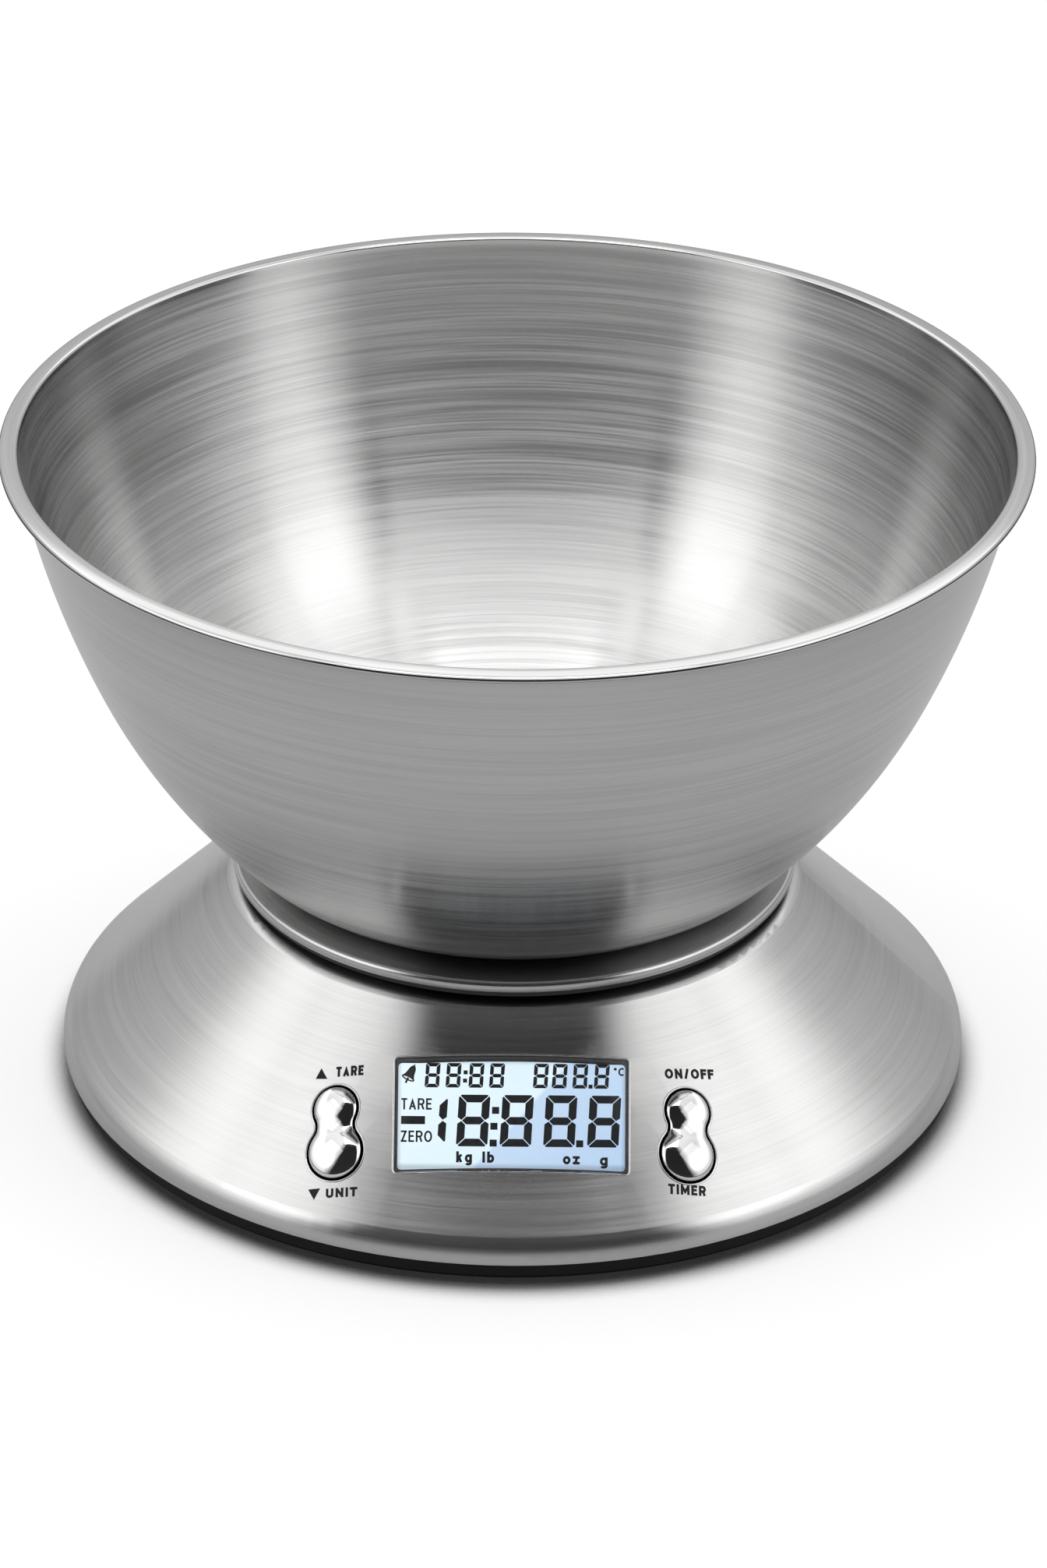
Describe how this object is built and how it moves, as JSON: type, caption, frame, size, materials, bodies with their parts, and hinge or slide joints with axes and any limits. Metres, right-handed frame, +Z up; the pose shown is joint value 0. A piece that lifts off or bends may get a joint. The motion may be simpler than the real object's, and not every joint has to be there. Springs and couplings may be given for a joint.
{
  "type": "kitchen scale",
  "caption": "Kitchen scale with a lift-off round steel bowl on a small platform, a conical steel base with a sloped display and a two-way rocker key on each side.",
  "frame": {"origin": "on the table, under the middle of the base", "axes": "+Z up; -Y is the front, where the display and keys face"},
  "size_m": [0.204, 0.204, 0.139],
  "materials": {
    "bowl_steel": "brushed round the bowl",
    "platform_steel": "brushed round the plate",
    "cover_steel": "brushed round the cone",
    "key_chrome": "polished",
    "black_plastic": "fine moulded grain",
    "pan_plastic": "fine moulded grain",
    "door_plastic": "fine moulded grain",
    "white_plastic": "moulded",
    "backlight_plastic": "frosted",
    "switch_plastic": "moulded",
    "foot_rubber": "matt",
    "strip_rubber": "matt",
    "screw_steel": "plated",
    "contact_metal": "nickel plated",
    "load_cell_aluminium": "anodised",
    "gauge_coat": "cast",
    "battery_wrap": "printed sleeve",
    "circuit_board": "solder mask",
    "chip_resin": "cast",
    "lens_clear": "clear",
    "lcd_panel": "satin",
    "cable_sheath": "satin",
    "lead_red": "satin",
    "lead_black": "satin"
  },
  "bodies": {
    "base_body": {"base_cover": "cover_steel", "upper_housing": "black_plastic", "lower_housing": "pan_plastic", "housing_screws": "screw_steel", "feet": "foot_rubber", "battery_front": "battery_wrap", "battery_rear": "battery_wrap", "positive_contact": "contact_metal", "negative_contact": "contact_metal", "bridge_contact": "contact_metal", "load_cell": "load_cell_aluminium", "gauge_coating": "gauge_coat", "load_cell_screws": "screw_steel", "load_cell_cable": "cable_sheath", "battery_lead_plus": "lead_red", "battery_lead_minus": "lead_black", "main_board": "circuit_board", "chip_blob": "chip_resin", "buzzer": "black_plastic", "thermistor": "chip_resin", "board_screws": "screw_steel", "display_lens": "lens_clear", "lcd_glass": "lcd_panel", "lcd_frame": "white_plastic", "backlight": "backlight_plastic", "contact_strip": "strip_rubber", "key_pivot_pins": "screw_steel", "key_boards": "circuit_board", "key_switches": "switch_plastic", "key_board_screws": "screw_steel"},
    "platform_body": {"platform_plate": "platform_steel", "platform_carrier": "black_plastic", "platform_screws": "screw_steel"},
    "bowl_body": {"bowl": "bowl_steel"},
    "left_key_body": {"left_key": "key_chrome"},
    "right_key_body": {"right_key": "key_chrome"},
    "door_body": {"battery_door": "door_plastic"}
  },
  "joints": [
    {"name": "platform_sink", "type": "slide", "parent": "base_body", "child": "platform_body", "axis": [0, 0, 1], "range_m": [-0.0005, 0], "stiffness_N_per_m": 98000, "deforming": ["load_cell"]},
    {"name": "bowl_lift", "type": "slide", "parent": "platform_body", "child": "bowl_body", "axis": [0, 0, 1], "range_m": [0, 0.15]},
    {"name": "left_key_rock", "type": "hinge", "parent": "base_body", "child": "left_key_body", "pos_m": [-0.03333, -0.06743, 0.02053], "axis": [0.95, -0.2079, 0.2332], "range_deg": [-3, 3], "stiffness_Nm_per_rad": 0.17},
    {"name": "right_key_rock", "type": "hinge", "parent": "base_body", "child": "right_key_body", "pos_m": [0.03333, -0.06743, 0.02053], "axis": [0.95, 0.2079, -0.2332], "range_deg": [-3, 3], "stiffness_Nm_per_rad": 0.17},
    {"name": "battery_door_swing", "type": "hinge", "parent": "base_body", "child": "door_body", "pos_m": [0, 0.0276, 0.0016], "axis": [-1, 0, 0], "range_deg": [0, 95]}
  ]
}
